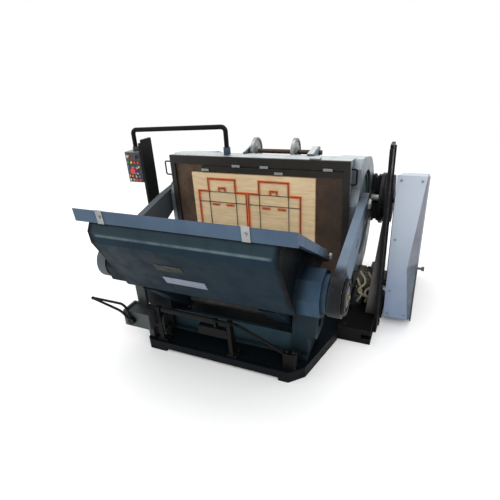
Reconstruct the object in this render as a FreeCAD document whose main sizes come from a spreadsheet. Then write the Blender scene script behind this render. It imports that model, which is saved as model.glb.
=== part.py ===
"""Clamshell platen die-cutting and creasing press, as a parametric document of separate sub-parts.

Frame: +X to the operator's right, +Y to the back, +Z up.  The origin is on the floor, on the centre plane,
directly below the bed's working face.  Millimetres.  The platen stands open, which is the rest pose.
"""
import FreeCAD, Part
import math
import os
import re
import Sketcher

Vector = FreeCAD.Vector

SIZES = {
    # base casting and feet
    "base_front": -782, "base_back": 920, "base_half_front": 600, "base_half_rear": 712,
    "base_corner": 90, "base_left_corner": 22, "base_height": 80, "base_shoulder": -240,
    "anchor_spacing_x": 1060, "anchor_spacing_y": 1500, "anchor_radius": 13, "anchor_centre_y": 90,
    "front_relief": 24, "front_relief_half": 440, "front_relief_depth": 150,
    # bed
    "bed_half": 710, "bed_inner_half": 558, "bed_top": 1286, "bed_back_top": 1257, "bed_bottom": 270,
    "bed_depth": 260, "rib_thickness": 34, "bed_skin": 70,
    # side frames
    "frame_inner": 560, "rim_outer": 766, "flange_inner": 749, "head_y": 420, "head_z": 760,
    "head_radius": 460, "leg_front": 20, "leg_back": 430, "recess_radius": 330, "rim_front": 8,
    "handle_front": 80, "handle_low": 1085,
    # chase, plate, board, rules
    "chase_thickness": 22, "chase_side": 40, "chase_top": 63, "chase_bottom": 30,
    "plate_thickness": 4, "board_left": -520, "board_right": 475, "board_low": 470, "board_high": 1160,
    "board_thickness": 16, "rule_height": 24,
    # platen, in its own frame about the hinge axis, platen closed
    "hinge_y": -474, "hinge_z": 320, "open_tilt": 59, "hinge_radius": 45,
    "ridge_y": 270, "ridge_z": 880, "face_y": 440, "face_low": -45, "face_high": 925,
    "belly_half": 590, "flange_half": 632,
    "trunnion_y": 189, "trunnion_z": 424, "trunnion_radius": 55, "boss_inradius": 138, "boss_end": 758,
    "leg_inner": 360, "leg_outer": 470, "face_plate": 4, "face_plate_half": 600,
    # safety bar, in the platen's frame
    "bar_half": 678, "bar_arm": 38, "bar_pivot_y": 422, "bar_pivot_z": 208,
    # connecting rods and crank
    "rod_length": 924.45, "rod_angle": 15.69, "rod_inner": 768, "rod_outer": 822, "big_eye": 124,
    "small_eye": 75, "crank_pin_radius": 30,
    # gearing
    "gear_y": 370, "gear_z": 800, "shaft_y": 769, "shaft_z": 800, "gear_module": 7.6, "gear_teeth": 90,
    "pinion_teeth": 15, "gear_inner": 713, "gear_outer": 745, "stub_radius": 60, "shaft_radius": 35,
    # flywheel, clutch, motor and belts
    "drum_inner": 846, "drum_outer": 946, "drum_radius": 215, "wheel_inner": 1030, "wheel_outer": 1150,
    "wheel_radius": 200, "pulley_radius": 45, "motor_y": 300, "motor_z": 235, "motor_radius": 125,
    "motor_left": 772, "motor_right": 958, "motor_shaft_radius": 19,
    # guard, columns, outriggers
    "guard_left": 1000, "guard_right": 1190, "guard_front": 80, "guard_back": 990, "guard_low": 70,
    "guard_high": 1185, "guard_back_high": 970, "guard_sheet": 4, "guard_waist": 500, "knob_z": 470,
    "column_inner": 948, "column_outer": 970, "column_front": -56, "column_back": 92,
    "column_top": 1400, "beam_front": -220, "beam_back": 120, "beam_height": 115,
    # reel over the bed
    "reel_y": 378, "reel_z": 1254, "reel_shaft_radius": 18, "reel_radius": 107,
    # control arm and box
    "post_x": -240, "post_y": 70, "arm_top": 1490, "arm_drop_x": -1068, "arm_drop_y": 30,
    "arm_end_z": 1468, "tube_radius": 18, "box_width": 150, "box_depth": 130, "box_height": 250,
    "box_low": 1050,
    # throw-off gear at the front
    "cross_y": -750, "cross_z": 352, "cross_radius": 11,
}

doc = FreeCAD.newDocument("platen_press")
sheet = doc.addObject("Spreadsheet::Sheet", "Dims")
for row, (alias, value) in enumerate(SIZES.items(), start=1):
    sheet.set(f"A{row}", alias)
    sheet.set(f"B{row}", str(value))
    sheet.setAlias(f"B{row}", alias)
doc.recompute()

NODES = []
SIDES = {"left": -1, "right": 1}
WORD = re.compile(r"[a-z][a-z0-9_]*")


def cells(text):
    """An expression in which each size's name reads its cell of the sheet."""
    return WORD.sub(lambda m: "Dims." + m.group() if m.group() in SIZES else m.group(), str(text))


def val(name):
    return float(getattr(sheet, name))


def keep(obj, label):
    """Makes an object a sub-part: its label names its file."""
    obj.Label = label
    NODES.append(obj)
    return obj


def new(kind, name, **expressions):
    obj = doc.addObject(kind, name)
    for prop, text in expressions.items():
        obj.setExpression(prop, cells(text))
    return obj


def block(name, x, y, z):
    """A box between the low and high expressions of each axis."""
    box = new("Part::Box", name)
    for (low, high), side, letter in zip((x, y, z), ("Length", "Width", "Height"), "xyz"):
        box.setExpression(side, cells(f"({high}) - ({low})"))
        box.setExpression(f"Placement.Base.{letter}", cells(low))
    return box


TURN = {
    "x": FreeCAD.Rotation(Vector(0, 1, 0), 90),
    "y": FreeCAD.Rotation(Vector(1, 0, 0), -90),
    "z": FreeCAD.Rotation(),
}


def bar(name, axis, radius, span, *centre):
    """A round bar along an axis between the two ends of span; centre gives the other two places."""
    piece = doc.addObject("Part::Cylinder", name)
    piece.Placement = FreeCAD.Placement(Vector(), TURN[axis])
    piece.setExpression("Radius", cells(radius))
    piece.setExpression("Height", cells(f"({span[1]}) - ({span[0]})"))
    others = [letter for letter in "xyz" if letter != axis]
    piece.setExpression(f"Placement.Base.{axis}", cells(span[0]))
    for letter, place in zip(others, centre):
        piece.setExpression(f"Placement.Base.{letter}", cells(place))
    return piece


def join(name, pieces):
    fused = doc.addObject("Part::MultiFuse", name)
    fused.Shapes = pieces
    fused.Refine = True
    return fused


def cut(name, base, tools):
    result = doc.addObject("Part::Cut", name)
    result.Base = base
    result.Tool = tools[0] if len(tools) == 1 else join(name + "_tools", tools)
    result.Refine = True
    return result


def group(name, pieces):
    bundle = doc.addObject("Part::Compound", name)
    bundle.Links = pieces
    return bundle


def ring_bar(name, outer, inner, span, y, z):
    """A round tube along X."""
    solid = bar(f"{name}_outer", "x", outer, span, y, z)
    return cut(name, solid, [bar(f"{name}_inner", "x", inner, span, y, z)])


def prism(name, plane, outline, length, reverse=False):
    """A PartDesign body: a closed outline of (u, v) expressions on an origin plane, then padded."""
    body = doc.addObject("PartDesign::Body", name)
    sketch = body.newObject("Sketcher::SketchObject", name + "_sketch")
    support = next(f for f in body.Origin.OriginFeatures if f.Role == plane)
    sketch.AttachmentSupport = (support, "")
    sketch.MapMode = "FlatFace"
    corners = [(number(u), number(v)) for u, v in outline]
    count = len(corners)
    for i, start in enumerate(corners):
        end = corners[(i + 1) % count]
        sketch.addGeometry(Part.LineSegment(Vector(*start, 0), Vector(*end, 0)))
    for i in range(count):
        sketch.addConstraint(Sketcher.Constraint("Coincident", i, 2, (i + 1) % count, 1))
    for i, (corner, texts) in enumerate(zip(corners, outline)):
        for kind, value, text in zip(("DistanceX", "DistanceY"), corner, texts):
            index = sketch.addConstraint(Sketcher.Constraint(kind, -1, 1, i, 1, value))
            sketch.setExpression(f"Constraints[{index}]", cells(text))
    pad = body.newObject("PartDesign::Pad", name + "_pad")
    pad.Profile = sketch
    pad.setExpression("Length", cells(length))
    pad.Reversed = reverse
    return body


def number(text):
    """The value of an expression of sizes, read through a spare cell of the sheet."""
    sheet.set("D1", f"={text}")
    sheet.recompute()
    return float(sheet.get("D1"))


def side_prism(name, outline, low, high):
    """An outline in Y and Z, as thick in X as from low to high."""
    body = prism(name, "YZ_Plane", outline, f"({high}) - ({low})")
    body.setExpression("Placement.Base.x", cells(low))
    return body


def round_edges(body, radius, chosen):
    """Fillets the edges of a body's last feature that the test picks."""
    doc.recompute()
    base = body.Tip
    names = [f"Edge{i}" for i, edge in enumerate(base.Shape.Edges, start=1) if chosen(edge)]
    fillet = body.newObject("PartDesign::Fillet", body.Name + f"_round{len(body.Group)}")
    fillet.Base = (base, names)
    fillet.Radius = radius
    return body


def along(letter):
    """Tests for straight edges along an axis."""
    def test(edge):
        ends = [v.Point for v in edge.Vertexes]
        if len(ends) != 2:
            return False
        run = ends[1] - ends[0]
        return abs(getattr(run, letter)) > 0.999 * run.Length
    return test


def tube_path(points, bend):
    """A wire of straight runs joined by arcs of one radius."""
    points = [Vector(*p) for p in points]
    edges = []
    start = points[0]
    for before, corner, after in zip(points, points[1:], points[2:]):
        back = (before - corner).normalize()
        ahead = (after - corner).normalize()
        half = back.getAngle(ahead) / 2
        reach = bend / math.tan(half)
        middle = corner + (back + ahead).normalize() * (bend / math.sin(half) - bend)
        first, last = corner + back * reach, corner + ahead * reach
        edges += [Part.LineSegment(start, first).toShape(), Part.Arc(first, middle, last).toShape()]
        start = last
    edges.append(Part.LineSegment(start, points[-1]).toShape())
    return Part.Wire(edges)


def tube(name, points, radius, bend):
    """A round rod or tube swept along runs and arcs."""
    path = tube_path(points, bend)
    run = Vector(*points[1]) - Vector(*points[0])
    ring = Part.Wire(Part.Circle(Vector(*points[0]), run, radius).toShape())
    feature = doc.addObject("Part::Feature", name)
    feature.Shape = path.makePipeShell([ring], True, False)
    return feature


def on_platen(obj):
    """Carries a piece drawn about the hinge axis to the open platen."""
    if obj.TypeId in ("Part::Box", "Part::Cylinder"):
        obj = group(obj.Name + "_carried", [obj])
    obj.Placement = FreeCAD.Placement(Vector(), FreeCAD.Rotation(Vector(1, 0, 0), 1))
    obj.setExpression("Placement.Rotation.Angle", "Dims.open_tilt")
    obj.setExpression("Placement.Base.y", "Dims.hinge_y")
    obj.setExpression("Placement.Base.z", "Dims.hinge_z")
    return obj


def platen_point(y, z):
    """Where a point of the platen's frame is with the platen open."""
    turn = FreeCAD.Rotation(Vector(1, 0, 0), val("open_tilt"))
    return turn.multVec(Vector(0, y, z)) + Vector(0, val("hinge_y"), val("hinge_z"))


# ---------------------------------------------------------------- base and frame

def base_casting():
    outline = [
        ("-base_half_front + base_left_corner", "base_front"),
        ("base_half_front - base_corner", "base_front"),
        ("base_half_front", "base_front + base_corner"), ("base_half_rear", "base_shoulder"),
        ("base_half_rear", "base_back"), ("-base_half_rear", "base_back"),
        ("-base_half_rear", "base_shoulder"), ("-base_half_front", "base_front + base_left_corner"),
    ]
    plate = prism("base_plate", "XY_Plane", outline, "base_height")
    round_edges(plate, 14, along("z"))
    relief = block("base_relief", ("-front_relief_half", "front_relief_half"),
                   ("base_front - 10", "base_front + front_relief_depth"), (-5, "front_relief"))
    slot = block("base_slot", ("-base_half_front + 130", "base_half_front - 130"),
                 ("base_front + 20", "base_front + 44"), ("base_height - 14", "base_height + 5"))
    holes = [
        bar(f"anchor_hole_{i}", "z", "anchor_radius", (-5, "base_height + 5"),
            f"{sx} * anchor_spacing_x / 2", f"anchor_centre_y + {sy} * anchor_spacing_y / 2")
        for i, (sx, sy) in enumerate([(-1, -1), (1, -1), (-1, 1), (1, 1)])
    ]
    keep(cut("base", plate, [relief, slot] + holes), "base_casting")


def front_tie_panel():
    panel = block("tie_plate", (-478, 478), (-566, -540), ("base_height", 236))
    lip = block("tie_lip", (-478, 478), (-600, -566), ("base_height", "base_height + 16"))
    keep(join("tie", [panel, lip]), "front_tie_panel")


def pedestals():
    """Two bearing blocks that carry the platen's hinge shaft."""
    pieces = []
    for side, sign in SIDES.items():
        low, high = (-592, -480) if sign < 0 else (480, 592)
        ear = (-640, -592) if sign < 0 else (592, 640)
        foot = [(-628, "base_height"), (-330, "base_height"), (-330, "base_height + 34"),
                (-368, "base_height + 34"), (-385, 200), (-385, 430), (-420, 478), (-590, 478),
                (-592, "base_height + 34"), (-628, "base_height + 34")]
        body = side_prism(f"{side}_pedestal_foot", foot, low, high)
        head = side_prism(f"{side}_pedestal_ear", [
            (-590, 250), (-560, 222), (-400, 222), (-385, 250), (-385, 430), (-420, 478), (-590, 478)], *ear)
        through = (-645, -475) if sign < 0 else (475, 645)
        bore = bar(f"{side}_pedestal_bore", "x", "hinge_radius + 0.05", through,
                   "hinge_y", "hinge_z")
        pieces.append(cut(f"{side}_pedestal", join(f"{side}_pedestal_solid", [body, head]), [bore]))
    keep(group("pedestal_pair", pieces), "pedestals")


def bed_block():
    """The bed between the cheeks: a thick skin in front and two rows of box ribs behind it."""
    profile = [(0, "bed_bottom"), ("bed_depth", "bed_bottom"), ("bed_depth", "bed_back_top"), (0, "bed_top")]
    solid = side_prism("bed_solid", profile, "-bed_inner_half", "bed_inner_half")
    columns, rows = 2, 2
    width = f"(2 * bed_inner_half - rib_thickness) / {columns}"
    height = f"(bed_back_top - bed_bottom - rib_thickness) / {rows}"
    pockets = []
    for column in range(columns):
        for row in range(rows):
            left = f"-bed_inner_half + rib_thickness + {column} * {width}"
            right = f"-bed_inner_half + {column + 1} * {width}"
            low = f"bed_bottom + rib_thickness + {row} * {height}"
            high = f"bed_bottom + {row + 1} * {height}"
            pockets.append(block(f"bed_pocket_{column}_{row}", (left, right),
                                 ("bed_skin", "bed_depth + 5"), (low, high)))
    keep(cut("bed", solid, pockets), "bed_block")


def side_frame(side):
    """A cheek casting: plate, head and rim with the gear's recess, and a leg."""
    sign = SIDES[side]

    def span(low, high):
        return (low, high) if sign > 0 else (f"-({high})", f"-({low})")

    plate = span("frame_inner", "bed_half")
    rim = span("bed_half", "rim_outer")
    shoulder = [(0, 640), (0, "bed_top"), ("bed_depth", "bed_back_top"),
                ("head_y + 140", "head_z + 438"), ("head_y", 640)]
    leg = [("leg_front", "base_height"), ("leg_back", "base_height"), ("leg_back", "base_height + 40"),
           ("leg_back - 70", 330), ("leg_back", 640), (0, 640), (0, "bed_bottom"), ("leg_front", 240)]
    solid = join(f"{side}_plate", [
        side_prism(f"{side}_shoulder", shoulder, *plate),
        side_prism(f"{side}_leg", leg, *plate),
        bar(f"{side}_head", "x", "head_radius", plate, "head_y", "head_z"),
        side_prism(f"{side}_rim_shoulder", [
            ("handle_front", 1000), ("handle_front", "bed_top - 75"), ("handle_front + 60", "bed_top - 18"),
            ("bed_depth", "bed_back_top"), ("head_y + 140", "head_z + 438"), ("head_y", 1000)], *rim),
        bar(f"{side}_rim", "x", "head_radius", rim, "head_y", "head_z"),
    ])
    pocket = span("bed_half", "flange_inner")
    through = span("flange_inner - 1", "rim_outer + 5")
    wall = span("frame_inner - 5", "bed_half + 5")
    tools = [
        bar(f"{side}_gear_pocket", "x", "gear_module * gear_teeth / 2 + 14", pocket, "gear_y", "gear_z"),
        bar(f"{side}_pinion_pocket", "x", "gear_module * pinion_teeth / 2 + 22", pocket,
            "shaft_y", "shaft_z"),
        bar(f"{side}_recess", "x", "recess_radius", through, "gear_y", "gear_z"),
        block(f"{side}_rim_trim", span("bed_half", "rim_outer + 5"), (-60, "rim_front"), (200, 1400)),
        block(f"{side}_handle_trim", span("bed_half", "rim_outer + 5"), (-60, "handle_front"),
              ("handle_low", 1400)),
        block(f"{side}_face_trim", span("frame_inner - 5", "bed_half + 1"), (-60, 0), (200, 1400)),
        bar(f"{side}_shaft_bore", "x", "shaft_radius + 0.05", span("frame_inner - 5", "rim_outer + 5"),
            "shaft_y", "shaft_z"),
        bar(f"{side}_stub_bore", "x", "stub_radius + 0.05", wall, "gear_y", "gear_z"),
        bar(f"{side}_window", "x", 105, wall, "head_y + 90", "head_z - 285"),
    ]
    keep(cut(f"{side}_frame", solid, tools), f"{side}_side_frame")


def rear_cross_beam():
    web = block("rear_web", ("-frame_inner", "frame_inner"), (560, 600), (470, 640))
    shelves = [block(f"rear_shelf_{z}", ("-frame_inner", "frame_inner"), (530, 630), (z, z + 26))
               for z in (444, 640)]
    keep(join("rear_beam", [web] + shelves), "rear_cross_beam")


# ---------------------------------------------------------------- chase, board and rules

def chase_frame():
    outer = block("chase_outer", ("-bed_half", "bed_half"), ("-chase_thickness", 0),
                  ("bed_bottom", "bed_top"))
    inner = block("chase_inner", ("-bed_half + chase_side", "bed_half - chase_side"),
                  ("-chase_thickness - 5", 5), ("bed_bottom + chase_bottom", "bed_top - chase_top"))
    furniture = block("chase_furniture", (-425, "bed_half - chase_side"),
                      ("-chase_thickness + 2", "-plate_thickness - 0.5"), (1172, 1212))
    keep(join("locked_chase", [cut("chase", outer, [inner]), furniture]), "chase_frame")
    keep(block("plate", ("-bed_half + chase_side + 1", "bed_half - chase_side - 1"),
               ("-plate_thickness", 0),
               ("bed_bottom + chase_bottom + 1", "bed_top - chase_top - 1")), "bed_plate")


def die_board():
    keep(block("board", ("board_left", "board_right"),
               ("-plate_thickness - board_thickness", "-plate_thickness"), ("board_low", "board_high")),
         "die_board")


def carton_lines(left):
    """Rule lines of one folding-carton blank: cut outline, tuck notches and creases, as X and Z pairs."""
    step, flap, wide = 85, 90, 230
    top, shelf, waist = 1115, 1015, 480
    a, b, c, d = left, left + flap, left + flap + wide, left + 2 * flap + wide
    outline = [(a, waist), (a, shelf), (b, shelf), (b, top), (c, top), (c, shelf), (d, shelf), (d, waist)]
    cuts = list(zip(outline, outline[1:]))
    middle = (b + c) / 2
    cuts += [((middle - 26, shelf + 12), (middle - 26, shelf + 30)),
             ((middle - 26, shelf + 30), (middle + 26, shelf + 30)),
             ((middle + 26, shelf + 30), (middle + 26, shelf + 12))]
    slot_z = shelf - step - 20
    cuts += [((x - 24, slot_z), (x + 24, slot_z)) for x in (middle - 62, middle + 62)]
    creases = [((b, shelf - 2), (c, shelf - 2)), ((a, shelf - step), (d, shelf - step)),
               ((b, waist), (b, shelf)), ((c, waist), (c, shelf))]
    return cuts, creases


def strip(start, end, half, low, high):
    """A straight wall of given half thickness over a line on the board, between two depths in Y."""
    (x0, z0), (x1, z1) = start, end
    x_low, x_high = sorted((x0, x1))
    z_low, z_high = sorted((z0, z1))
    return Part.makeBox(x_high - x_low + 2 * half, high - low, z_high - z_low + 2 * half,
                        Vector(x_low - half, low, z_low - half))


def fused(shapes):
    return shapes[0].fuse(shapes[1:]).removeSplitter()


def cutting_rules():
    """Steel rules standing out of the board, and the sponge rubber that lines the cutting ones."""
    face = -val("plate_thickness") - val("board_thickness")
    edge = -val("plate_thickness") - val("rule_height")
    blanks = [carton_lines(val("board_left") + offset) for offset in (52, 478)]
    cuts = [line for blank in blanks for line in blank[0]]
    creases = [line for blank in blanks for line in blank[1]]
    rules = fused([strip(*line, 1.5, edge, face) for line in cuts]
                  + [strip(*line, 1.5, edge + 1, face) for line in creases])
    slots = fused([strip(*line, 3, edge - 5, face + 5) for line in cuts + creases])
    rubber = fused([strip(*line, 9, edge + 0.5, face) for line in cuts]).cut(slots)
    for name, shape in (("cutting_rules", rules), ("ejection_rubber", rubber)):
        feature = doc.addObject("Part::Feature", name)
        feature.Shape = shape
        keep(feature, name)


def chase_clamps():
    """Lock-up clips on the chase's furniture bar and top edge."""
    pieces = []
    for i, (x, z) in enumerate([(-395, 1183), (205, 1181), (95, 1222), (-130, 1222), (560, 1224)]):
        foot = block(f"clamp_foot_{i}", (x - 32, x + 32), (-27, "-chase_thickness"), (z - 9, z + 9))
        screw = bar(f"clamp_screw_{i}", "y", 6, (-29, -27), x, z)
        pieces.append(join(f"clamp_{i}", [foot, screw]))
    keep(group("clamp_set", pieces), "chase_clamps")


def side_handles():
    """A bent-rod handle on each side of the bed; the left one stands out further."""
    pieces = []
    for side, sign, stand_off in (("left", -1, 88), ("right", 1, 36)):
        x, reach = sign * val("bed_half"), sign * stand_off
        loop = [(x, 36, 1114), (x + reach, 36, 1114), (x + reach, 36, 1222), (x, 36, 1222)]
        pieces.append(tube(f"{side}_handle", loop, 6, 14))
    keep(group("handle_pair", pieces), "side_handles")


# ---------------------------------------------------------------- outriggers, columns, motor

def outriggers():
    """A flat beam at each side of the base that carries the column."""
    pieces = []
    for side, sign in SIDES.items():
        span = ("base_half_rear", "column_inner") if sign > 0 else ("-column_inner", "-base_half_rear")
        notch = ("column_inner - 70", "column_inner + 5") if sign > 0 else \
                ("-column_inner - 5", "-column_inner + 70")
        beam = block(f"{side}_beam", span, ("beam_front", "beam_back"), (0, "beam_height"))
        hollow = block(f"{side}_beam_hollow", (f"{span[0]} - 5", f"{span[1]} + 5"),
                       ("beam_front + 14", "beam_back - 14"), (14, "beam_height - 14"))
        mouth = block(f"{side}_beam_mouth", notch, ("beam_front - 5", "beam_front + 80"), (40, 80))
        pieces.append(cut(f"{side}_outrigger", beam, [hollow, mouth]))
    keep(group("outrigger_pair", pieces), "outriggers")


def columns():
    """Flat guard posts with a return lip along the back edge."""
    pieces = []
    for side, sign in SIDES.items():
        low, high = ("column_inner", "column_outer") if sign > 0 else ("-column_outer", "-column_inner")
        lip = (f"{high}", f"{high} + 9") if sign > 0 else (f"{low} - 9", f"{low}")
        web = block(f"{side}_post_web", (low, high), ("column_front", "column_back"), (0, "column_top"))
        edge = block(f"{side}_post_lip", lip, ("column_back - 12", "column_back"), (0, "column_top - 20"))
        cap = block(f"{side}_post_notch", (f"{low} - 20", f"{high} + 20"),
                    ("column_front - 5", "column_front + 30"), ("column_top - 22", "column_top + 5"))
        pieces.append(cut(f"{side}_column", join(f"{side}_post", [web, edge]), [cap]))
    keep(group("column_pair", pieces), "columns")


def motor():
    shelf = block("motor_shelf", ("base_half_rear", 985), (150, 520), (0, 30))
    riser = block("motor_riser", ("motor_left + 40", 975), ("motor_y - 110", "motor_y + 110"),
                  (30, "motor_z - motor_radius"))
    keep(join("motor_stand", [shelf, riser]), "motor_base")

    shell = bar("motor_shell", "x", "motor_radius - 10", ("motor_left + 46", "motor_right - 4"),
                "motor_y", "motor_z")
    fins = []
    fin_count, fin_half = 24, 2.5
    for i in range(fin_count):
        fin = doc.addObject("Part::Box", f"motor_fin_{i}")
        fin.Width = 2 * fin_half
        fin.setExpression("Length", cells("motor_right - motor_left - 74"))
        fin.setExpression("Height", cells("motor_radius - 3"))
        turn = FreeCAD.Rotation(Vector(1, 0, 0), 360 * i / fin_count)
        offset = turn.multVec(Vector(0, -fin_half, 0))
        fin.Placement = FreeCAD.Placement(offset + Vector(val("motor_left") + 58, val("motor_y"),
                                                          val("motor_z")), turn)
        fins.append(fin)
    feet = block("motor_feet", ("motor_left + 70", "motor_right - 30"), ("motor_y - 96", "motor_y + 96"),
                 ("motor_z - motor_radius", "motor_z - motor_radius + 28"))
    web = block("motor_web", ("motor_left + 80", "motor_right - 40"), ("motor_y - 60", "motor_y + 60"),
                ("motor_z - motor_radius + 20", "motor_z - 60"))
    terminal = block("motor_terminal", ("motor_left + 90", "motor_right - 60"),
                     ("motor_y - 50", "motor_y + 50"), ("motor_z + 80", "motor_z + 158"))
    bore = bar("motor_bore", "x", "motor_shaft_radius + 0.05", ("motor_right - 60", "motor_right + 5"),
               "motor_y", "motor_z")
    keep(cut("motor_case", join("motor_solid", [shell, feet, web, terminal] + fins), [bore]), "motor_body")

    cover = bar("fan_shell", "x", "motor_radius", ("motor_left", "motor_left + 45"), "motor_y", "motor_z")
    room = bar("fan_room", "x", "motor_radius - 4", ("motor_left + 5", "motor_left + 50"),
               "motor_y", "motor_z")
    vents = [bar(f"fan_vent_{i}", "x", 7, ("motor_left - 5", "motor_left + 10"),
                 f"motor_y + {ring * math.cos(math.tau * i / 12):.3f}",
                 f"motor_z + {ring * math.sin(math.tau * i / 12):.3f}")
             for ring in (45, 75) for i in range(12)]
    keep(cut("fan_cover", cover, [room] + vents), "motor_fan_cover")


# ---------------------------------------------------------------- drive

def gear_outline(teeth, module, addendum, dedendum, backlash):
    """Involute gear outline, one tooth centred on +Y, in the YZ plane."""
    pressure = math.radians(20)
    pitch = module * teeth / 2
    base = pitch * math.cos(pressure)
    tip, root = pitch + addendum * module, pitch - dedendum * module
    half_pitch = math.pi / (2 * teeth) - backlash / (2 * pitch)
    involute = math.tan(pressure) - pressure

    def half_angle(radius):
        roll = math.acos(min(1.0, base / max(radius, base)))
        return half_pitch + involute - (math.tan(roll) - roll)

    steps = 5
    start = max(root, base)
    radii = [start + (tip - start) * i / steps for i in range(steps + 1)]
    flank = [(root, half_angle(start))] if root < base else []
    flank += [(radius, half_angle(radius)) for radius in radii]
    points = []
    for tooth in range(teeth):
        centre = 2 * math.pi * tooth / teeth
        points += [(r, centre - a) for r, a in flank]
        points += [(r, centre + a) for r, a in reversed(flank)]
    return [Vector(0, r * math.cos(a), r * math.sin(a)) for r, a in points]


def toothed_disc(teeth, backlash, low, high, y, z):
    outline = gear_outline(teeth, val("gear_module"), 0.8, 1.1, backlash)
    face = Part.Face(Part.makePolygon(outline + outline[:1]))
    disc = face.extrude(Vector(high - low, 0, 0))
    disc.translate(Vector(low, y, z))
    return disc


def ring(outer, inner, low, high, y, z):
    solid = Part.makeCylinder(outer, high - low, Vector(low, y, z), Vector(1, 0, 0))
    if inner:
        solid = solid.cut(Part.makeCylinder(inner, high - low, Vector(low, y, z), Vector(1, 0, 0)))
    return solid


def bull_gears():
    """A large gear on a stub shaft in each cheek, dished on its outer face."""
    y, z = val("gear_y"), val("gear_z")
    pitch = val("gear_module") * val("gear_teeth") / 2
    for side, sign in SIDES.items():
        low, high = sorted((sign * val("gear_inner"), sign * val("gear_outer")))
        disc = toothed_disc(int(val("gear_teeth")), 0.4, low, high, y, z)
        outer_face = high if sign > 0 else low
        dish_low, dish_high = sorted((outer_face, outer_face - sign * 12))
        disc = disc.cut(ring(pitch - 45, 110, dish_low, dish_high, y, z))
        stub_low, stub_high = sorted((sign * (val("frame_inner") + 2), sign * val("gear_inner")))
        disc = disc.fuse(ring(val("stub_radius"), 0, stub_low, stub_high, y, z)).removeSplitter()
        feature = doc.addObject("Part::Feature", f"{side}_gear")
        feature.Shape = disc
        keep(feature, f"{side}_bull_gear")


def drive_shaft():
    keep(bar("main_shaft", "x", "shaft_radius", ("-rim_outer - 20", "wheel_outer + 14"),
             "shaft_y", "shaft_z"), "drive_shaft")
    pinions = []
    for sign in SIDES.values():
        low, high = sorted((sign * val("gear_inner"), sign * val("gear_outer")))
        disc = toothed_disc(int(val("pinion_teeth")), 0.4, low, high, val("shaft_y"), val("shaft_z"))
        pinions.append(disc.cut(ring(val("shaft_radius"), 0, low, high, val("shaft_y"), val("shaft_z"))))
    feature = doc.addObject("Part::Feature", "pinion_pair")
    feature.Shape = Part.makeCompound(pinions)
    keep(feature, "drive_pinions")

    steps = [("drum_radius", "drum_inner", "drum_inner + 26"), (186, "drum_inner + 26", "drum_inner + 38"),
             ("drum_radius - 6", "drum_inner + 38", "drum_inner + 66"),
             (176, "drum_inner + 66", "drum_inner + 76"),
             ("drum_radius - 14", "drum_inner + 76", "drum_outer")]
    discs = [bar(f"drum_step_{i}", "x", radius, (low, high), "shaft_y", "shaft_z")
             for i, (radius, low, high) in enumerate(steps)]
    bore = bar("drum_bore", "x", "shaft_radius", ("drum_inner - 5", "drum_outer + 5"), "shaft_y", "shaft_z")
    keep(cut("drum", join("drum_solid", discs), [bore]), "clutch_drum")


def sheave(radius, low, high, grooves, depth):
    """The grooved rim of a belt wheel as a solid of revolution about X, bored later."""
    pitch = (high - low) / grooves
    profile = [(low, 0), (low, radius)]
    for i in range(grooves):
        centre = low + pitch * (i + 0.5)
        profile += [(centre - 11, radius), (centre - 6, radius - depth), (centre + 6, radius - depth),
                    (centre + 11, radius)]
    profile += [(high, radius), (high, 0)]
    points = [Vector(x, r, 0) for x, r in profile]
    face = Part.Face(Part.makePolygon(points + points[:1]))
    return face.revolve(Vector(), Vector(1, 0, 0), 360)


GROOVES = 3
GROOVE_DEPTH = 16


def flywheel():
    low, high = val("wheel_inner"), val("wheel_outer")
    y, z = val("shaft_y"), val("shaft_z")
    wheel = sheave(val("wheel_radius"), low, high, GROOVES, GROOVE_DEPTH)
    wheel.translate(Vector(0, y, z))
    for face_low, face_high in ((low, low + 42), (high - 42, high)):
        wheel = wheel.cut(ring(val("wheel_radius") - 42, 75, face_low, face_high, y, z))
    wheel = wheel.cut(ring(val("shaft_radius") + 0.05, 0, low - 1, high + 1, y, z))
    feature = doc.addObject("Part::Feature", "wheel")
    feature.Shape = wheel
    keep(feature, "flywheel")


def motor_pulley():
    low, high = val("wheel_inner"), val("wheel_outer")
    pulley = sheave(val("pulley_radius"), low, high, GROOVES, GROOVE_DEPTH)
    pulley.translate(Vector(0, val("motor_y"), val("motor_z")))
    axle = ring(val("motor_shaft_radius"), 0, val("motor_right") - 58, low + 10, val("motor_y"),
                val("motor_z"))
    feature = doc.addObject("Part::Feature", "pulley")
    feature.Shape = pulley.fuse(axle).removeSplitter()
    keep(feature, "motor_pulley")


def belt_loop(centre, half_width, lift, drop):
    """One V-belt round the flywheel and the pulley, clear of both grooves."""
    big = (val("shaft_y"), val("shaft_z"), val("wheel_radius"))
    small = (val("motor_y"), val("motor_z"), val("pulley_radius"))
    gap = math.hypot(big[0] - small[0], big[1] - small[1])
    line = math.atan2(small[1] - big[1], small[0] - big[0])

    def loop(offset, half):
        spread = math.acos((big[2] - small[2]) / gap)
        corners = []
        for (y, z, radius), turn in ((big, line + spread), (small, line + spread),
                                     (small, line - spread), (big, line - spread)):
            reach = radius + offset
            corners.append(Vector(centre - half, y + reach * math.cos(turn), z + reach * math.sin(turn)))
        near = Vector(centre - half, small[0] + (small[2] + offset) * math.cos(line),
                      small[1] + (small[2] + offset) * math.sin(line))
        far = Vector(centre - half, big[0] - (big[2] + offset) * math.cos(line),
                     big[1] - (big[2] + offset) * math.sin(line))
        wire = Part.Wire([
            Part.LineSegment(corners[0], corners[1]).toShape(),
            Part.Arc(corners[1], near, corners[2]).toShape(),
            Part.LineSegment(corners[2], corners[3]).toShape(),
            Part.Arc(corners[3], far, corners[0]).toShape(),
        ])
        return Part.Face(wire).extrude(Vector(2 * half, 0, 0))
    return loop(lift, half_width).cut(loop(-drop, half_width + 5))


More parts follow.
